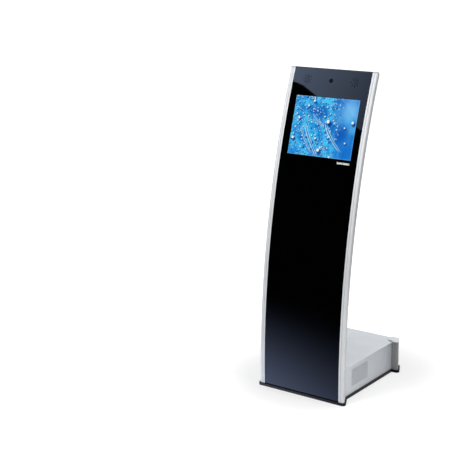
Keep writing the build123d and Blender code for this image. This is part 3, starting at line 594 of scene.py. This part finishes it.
def make_nameplate_bars():
    """Two groups of four plain raised blocks, in place of lettering."""
    low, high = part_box("nameplate")
    centre = (low + high) / 2
    place = column_frame(arc_angle(centre))
    half_x, half_y = BAR_HALF
    group_middle = (BAR_COUNT - 1) / 2

    def bars(work):
        for step in range(BAR_COUNT):
            gap = BAR_GROUP_GAP if step > group_middle else -BAR_GROUP_GAP
            x = centre.x + (step - group_middle) * BAR_PITCH + gap / 2
            slab(work, (x - half_x, -half_y, BAR_RISE[0]), (x + half_x, half_y, BAR_RISE[1]), BAR_BEVEL)

    light = surface("nameplate_face", (0.80, 0.79, 0.75), 0.32, 0.4, 0.04, 60.0, 2600.0, 0.00001,
                    (0.05, 1.0, 1.0), edges=0.0)
    build("nameplate_bars", bars, light, place=place)


def parts_of(node):
    """Corners of each separate solid in a CAD node."""
    work = bmesh.new()
    work.from_mesh(frame["nodes"][node].data)
    bmesh.ops.remove_doubles(work, verts=work.verts, dist=1e-6)
    left, found = set(work.verts), []
    while left:
        group, edge_of = set(), [left.pop()]
        while edge_of:
            vert = edge_of.pop()
            group.add(vert)
            for edge in vert.link_edges:
                other = edge.other_vert(vert)
                if other in left:
                    left.discard(other)
                    edge_of.append(other)
        points = np.array([vert.co[:] for vert in group])
        found.append((Vector(points.min(0)), Vector(points.max(0))))
    work.free()
    return sorted(found, key=lambda pair: pair[0].z)


LEAF_FACE = 1.55 * MM          # outer face of a hinge leaf, out from the panel or door
SCREW_INSET = 6 * MM           # from the leaf's outer edge
SCREW_RISES = (-10.5 * MM, 10.5 * MM)
SCREW_HEAD = (2.6 * MM, 1.1 * MM)     # radius and height


def rear_leaf_place(centre):
    turned = Matrix.Rotation(math.pi, 4, "X")
    return column_frame(arc_angle(centre)) @ Matrix.Translation((0, 0, -COLUMN_DEPTH - LEAF_FACE)) @ turned


def base_leaf_place(centre):
    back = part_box("base_door")[1].y
    return Matrix.Translation((0, back + LEAF_FACE, centre.z)) @ Matrix.Rotation(-math.pi / 2, 4, "X")


def hinge_heads(node, side, leaf_place):
    """Mesh maker for the two screw heads of each leaf in a hinge node."""
    def heads(work):
        for low, high in parts_of(node):
            at = leaf_place((low + high) / 2)
            edge = low.x + SCREW_INSET if side < 0 else high.x - SCREW_INSET
            for rise in SCREW_RISES:
                screw_head(work, at @ Matrix.Translation((edge, rise, 0)), *SCREW_HEAD)
    return heads


def make_hinge_screws():
    for side, name in ((-1, "fixed"), (1, "moving")):
        for group, door, leaf_place in (("rear", "rear_door", rear_leaf_place),
                                        ("base", "base_door", base_leaf_place)):
            node = f"{group}_hinge_{name}"
            carrier = "kiosk" if side < 0 else door
            heads = hinge_heads(node, side, leaf_place)
            build(f"{node}_screws", heads, FINISHES["zinc_steel"], carrier)


# ------------------------------------------------------------------ studio
def emitter(name, colour, strength, edge=None):
    material = bpy.data.materials.new(name)
    material.use_nodes = True
    tree = material.node_tree
    tree.nodes.clear()
    n = Nodes(tree)
    light = n.new("ShaderNodeEmission")
    n.put(light.inputs["Color"], colour)
    n.put(light.inputs["Strength"], edge(n, strength) if edge else strength)
    output = n.new("ShaderNodeOutputMaterial")
    tree.links.new(light.outputs[0], output.inputs[0])
    return material


def stage_mesh(name, points, faces, finish):
    mesh = bpy.data.meshes.new(name)
    mesh.from_pydata(points, [], faces)
    mesh.materials.append(finish)
    made = bpy.data.objects.new(name, mesh)
    bpy.context.scene.collection.objects.link(made)
    return made


def only_reflected(card):
    """A card that shows in reflections, and neither to the camera nor as light or shadow."""
    card.visible_camera = card.visible_diffuse = card.visible_shadow = False
    card.visible_transmission = card.visible_volume_scatter = False


def glossy_or_through(n):
    """1 for a ray that has met a mirror or gone through glass, 0 for the camera and soft light."""
    path = n.new("ShaderNodeLightPath")
    return n.math("MAXIMUM", path.outputs["Is Glossy Ray"], path.outputs["Is Transmission Ray"])


FLOOR_REACH = 60.0
FLOOR_GREY = (0.38, 0.38, 0.38)
SHADE_REACH = (0.36, 1.0)      # distances from the middle where the floor starts and ends turning white
SHADE_LIGHT = (0.46, 1.1)      # the floor's own light at those distances, for the camera only


def make_floor():
    """White paper lit to the camera by its own glow; the glow is weaker near the middle, so painted shade
    darkens the floor round the base plate along with its faint real shadow.
    """
    reach = FLOOR_REACH
    paper = surface("floor_paper", FLOOR_GREY, 0.8, 0.0, 0.004, 1.5, 300.0, 0.0001, edges=0.0)
    n = Nodes(paper.node_tree)
    shader = next(node for node in n.tree.nodes if node.type == "BSDF_PRINCIPLED")
    seen = n.new("ShaderNodeLightPath").outputs["Is Camera Ray"]
    shader.inputs["Emission Color"].default_value = (1.0, 1.0, 1.0, 1.0)
    # painted shade: the camera-only glow falls off towards the kiosk, greying the floor round the base
    away = n.ramp(n.vector("LENGTH", n.place()), *SHADE_REACH, *SHADE_LIGHT)
    n.put(shader.inputs["Emission Strength"], n.math("MULTIPLY", seen, away))
    corners = [(-reach, -reach, 0), (reach, -reach, 0), (reach, reach, 0), (-reach, reach, 0)]
    floor = stage_mesh("floor", corners, [(0, 1, 2, 3)], paper)
    floor.visible_glossy = False


DIAGONAL = 0.707
GLOW_PLACE, GLOW_FALL, GLOW_FADE = 0.49, -2.55, 0.84     # across middle, fall across, fade along
GLOW_COLOUR, GLOW_STRENGTH = (0.77, 0.81, 1.0), 7.3
GLOW_LEFT, GLOW_RIGHT, GLOW_FRONT = -3.6, 0.5, -3.6


def make_near_floor():
    """What the foot of the glass reflects: a glow just under the floor, in front and to the left."""
    def glow(n, strength):
        x, y, _ = n.split(n.place())
        along = n.math("MINIMUM", n.math("MULTIPLY", n.math("ADD", x, y), DIAGONAL), 0.0)
        across = n.math("ADD", n.math("MULTIPLY", n.math("SUBTRACT", x, y), DIAGONAL), GLOW_PLACE)
        fall = n.math("MULTIPLY", n.math("MULTIPLY", across, across), GLOW_FALL)
        power = n.math("MULTIPLY_ADD", along, GLOW_FADE, fall)
        return n.math("MULTIPLY", n.math("EXPONENT", power), strength)

    left, right, front, back = GLOW_LEFT, GLOW_RIGHT, GLOW_FRONT, cad_low.y - 2 * MM
    corners = [(x, y, -1 * MM) for x, y in ((left, front), (right, front), (right, back), (left, back))]
    only_reflected(stage_mesh("near_floor", corners, [(0, 1, 2, 3)],
                              emitter("near_floor", GLOW_COLOUR, GLOW_STRENGTH, glow)))


PANEL_DISTANCE = 4.5
PANEL_CENTRE = Vector((0.0, 0.0, 1.4))
PANEL_AZIMUTH, PANEL_ELEVATION = math.radians(30), math.radians(35)
PANEL_LEFT, PANEL_RIGHT, PANEL_TOP = 1.3, -0.8, 1.2
PANEL_LOWER_EDGE = ((PANEL_LEFT, -0.45), (0.5, -0.9), (PANEL_RIGHT, -2.05))
PANEL_COLOUR, PANEL_STRENGTH = (0.84, 0.90, 1.0), 2.95
PANEL_FADE, PANEL_FADED = 0.85, 0.33     # width of the fade, and its faint end's share
PANEL_OUTLINE = (*PANEL_LOWER_EDGE, (PANEL_RIGHT, PANEL_TOP), (PANEL_LEFT, PANEL_TOP))


def make_soft_panel():
    """The soft box that the top of the glass reflects, brighter towards its left end."""
    sa, ca = math.sin(PANEL_AZIMUTH), math.cos(PANEL_AZIMUTH)
    se, ce = math.sin(PANEL_ELEVATION), math.cos(PANEL_ELEVATION)
    away = Vector((-sa * ce, -ca * ce, se))
    left = Vector((-ca, sa, 0.0))
    up = away.cross(left)
    if up.z < 0:
        up = -up
    origin = PANEL_CENTRE + away * PANEL_DISTANCE
    corners = [tuple(origin + left * a + up * b) for a, b in PANEL_OUTLINE]

    def fade(n, strength):
        beside = n.vector("DOT_PRODUCT", n.vector("SUBTRACT", n.place(), tuple(origin)), tuple(left))
        return n.ramp(beside, 0.0, PANEL_FADE, PANEL_FADED * strength, strength, smooth=False)

    only_reflected(stage_mesh("soft_panel", corners, [tuple(range(len(corners)))],
                              emitter("soft_panel", PANEL_COLOUR, PANEL_STRENGTH, fade)))


AMBIENT, EXTRA_FOR_CAMERA = 0.28, 0.8


def make_world():
    """White behind the kiosk, soft white light all round, and a dim room in its reflections."""
    world = bpy.data.worlds.new("studio")
    bpy.context.scene.world = world
    world.use_nodes = True
    tree = world.node_tree
    tree.nodes.clear()
    n = Nodes(tree)
    plain, dim = n.new("ShaderNodeBackground"), n.new("ShaderNodeBackground")
    n.put(plain.inputs["Color"], (1.0, 1.0, 1.0))
    seen = n.new("ShaderNodeLightPath").outputs["Is Camera Ray"]
    n.put(plain.inputs["Strength"], n.math("MULTIPLY_ADD", seen, EXTRA_FOR_CAMERA, AMBIENT))
    _, behind, rise = n.split(n.new("ShaderNodeTexCoord").outputs["Generated"])
    n.put(dim.inputs["Color"], (1.0, 1.0, 1.0))
    room = n.math("MAXIMUM", n.ramp(rise, 0.55, 0.95, 0.0008, 0.9), n.ramp(behind, 0.1, 0.7, 0.0, 0.8))
    n.put(dim.inputs["Strength"], room)
    blend = n.new("ShaderNodeMixShader")
    n.put(blend.inputs[0], glossy_or_through(n))
    tree.links.new(plain.outputs[0], blend.inputs[1])
    tree.links.new(dim.outputs[0], blend.inputs[2])
    output = n.new("ShaderNodeOutputWorld")
    tree.links.new(blend.outputs[0], output.inputs[0])


def soft_lamp(name, place, target, size, power):
    data = bpy.data.lights.new(name, "AREA")
    data.shape, data.size, data.energy = "SQUARE", size, power
    lamp = bpy.data.objects.new(name, data)
    bpy.context.scene.collection.objects.link(lamp)
    lamp.location = place
    lamp.rotation_euler = (Vector(target) - Vector(place)).to_track_quat("-Z", "Y").to_euler()
    lamp.visible_camera = lamp.visible_glossy = lamp.visible_transmission = False


# Name, place, target, size and power
LAMPS = (("overhead", (0.5, 0.3, 4.0), (0, 0, 0.3), 1.6, 132.0),
         ("key", (-0.7, -2.6, 1.9), (0, -0.1, 1.0), 1.2, 72.0),
         ("side", (0.75, -0.45, 0.22), (0.2, -0.1, 0.1), 0.35, 2.1))


def make_studio():
    make_floor()
    make_near_floor()
    make_soft_panel()
    make_world()
    for lamp in LAMPS:
        soft_lamp(*lamp)
    view = bpy.context.scene.view_settings
    view.view_transform, view.look = "Standard", "None"


paint_nodes()
make_screen()
make_nameplate_bars()
make_hinge_screws()
make_studio()
